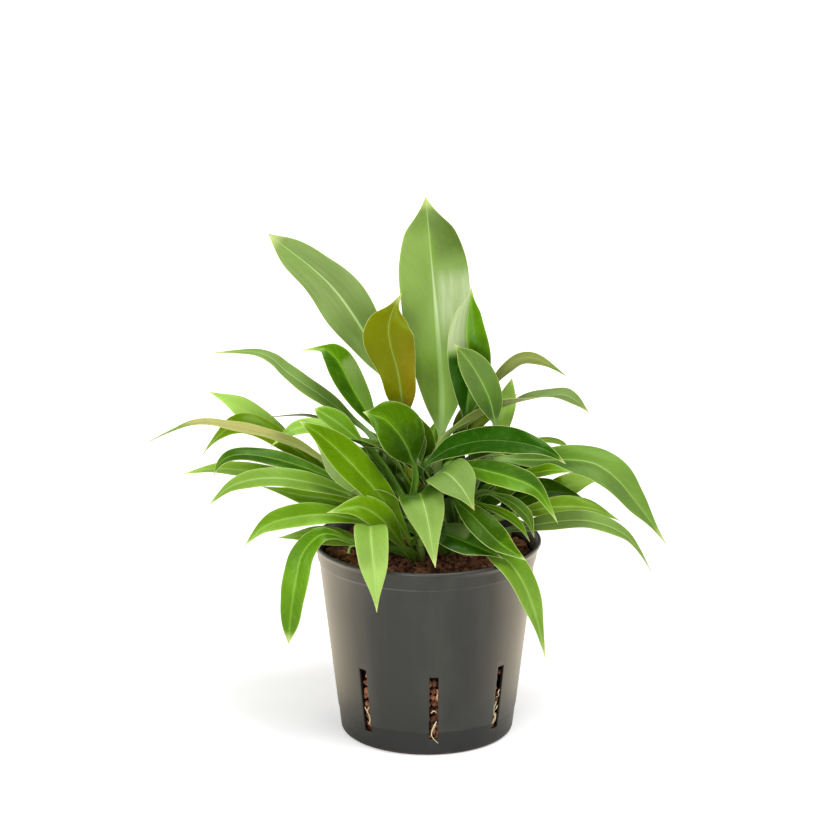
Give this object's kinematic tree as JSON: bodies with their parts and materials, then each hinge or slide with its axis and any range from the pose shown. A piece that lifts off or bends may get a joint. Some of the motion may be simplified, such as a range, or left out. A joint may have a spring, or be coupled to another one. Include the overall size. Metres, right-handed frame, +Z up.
{
  "type": "potted philodendron",
  "caption": "Bushy young philodendron with long pointed green leaves, in a dark slotted culture pot filled with clay granules.",
  "frame": {"origin": "middle of the pot's flat underside, on the surface that the pot stands on", "axes": "+Z up along the pot's axis, -Y towards the plant's front, +X to the right seen from the front"},
  "size_m": [0.327, 0.1928, 0.344],
  "materials": {
    "pot_plastic": "satin dark grey moulded plastic",
    "fired_clay": "rough porous fired clay granules",
    "stem_green": "smooth living stem",
    "leaf_green": "waxy living leaf with a pale midrib and margin",
    "leaf_olive": "waxy new leaf, olive bronze",
    "root_cream": "thin living root"
  },
  "bodies": {
    "root": {"pot": "pot_plastic", "clay_granules": "fired_clay", "stem_left": "stem_green", "stem_front": "stem_green", "stem_middle": "stem_green", "stem_right": "stem_green", "stem_back": "stem_green", "leaf_tall_middle": "leaf_green", "leaf_high_left": "leaf_green", "leaf_new_olive": "leaf_olive", "leaf_glossy_left": "leaf_green", "leaf_high_thin": "leaf_green", "leaf_pale_far_left": "leaf_green", "leaf_longest_left": "leaf_green", "leaf_dark_left": "leaf_green", "leaf_edge_left": "leaf_green", "leaf_small_left": "leaf_green", "leaf_blunt_left": "leaf_green", "leaf_bright_front": "leaf_green", "leaf_pale_behind_front": "leaf_green", "leaf_arched_left": "leaf_green", "leaf_yellow_tip_left": "leaf_green", "leaf_wavy_left": "leaf_green", "leaf_under_left": "leaf_green", "leaf_low_left": "leaf_green", "leaf_lowest_left": "leaf_green", "leaf_hanging_left": "leaf_green", "leaf_hanging_front_left": "leaf_green", "leaf_arch_front_left": "leaf_green", "leaf_hanging_front": "leaf_green", "leaf_dark_round": "leaf_green", "leaf_dark_arch": "leaf_green", "leaf_right_arch": "leaf_green", "leaf_folded_front": "leaf_green", "leaf_dark_front_right": "leaf_green", "leaf_glossy_low": "leaf_green", "leaf_hanging_right": "leaf_green", "leaf_far_right": "leaf_green", "leaf_yellow_right": "leaf_green", "leaf_olive_right": "leaf_green", "leaf_twisted_right": "leaf_green", "leaf_upper_arch_right": "leaf_green", "leaf_long_right": "leaf_green", "leaf_dark_middle": "leaf_green", "leaf_blue_middle": "leaf_green", "leaf_pale_right": "leaf_green", "leaf_thin_arch_right": "leaf_green", "leaf_pink_edge_right": "leaf_green", "leaf_narrow_right": "leaf_green", "leaf_thin_right": "leaf_green", "leaf_back_left": "leaf_green", "leaf_back_low_left": "leaf_green", "leaf_back_middle": "leaf_green", "leaf_back_right": "leaf_green", "leaf_back_upper_left": "leaf_green", "leaf_back_upper_right": "leaf_green", "root_front": "root_cream", "root_left": "root_cream", "root_right": "root_cream"}
  },
  "joints": []
}
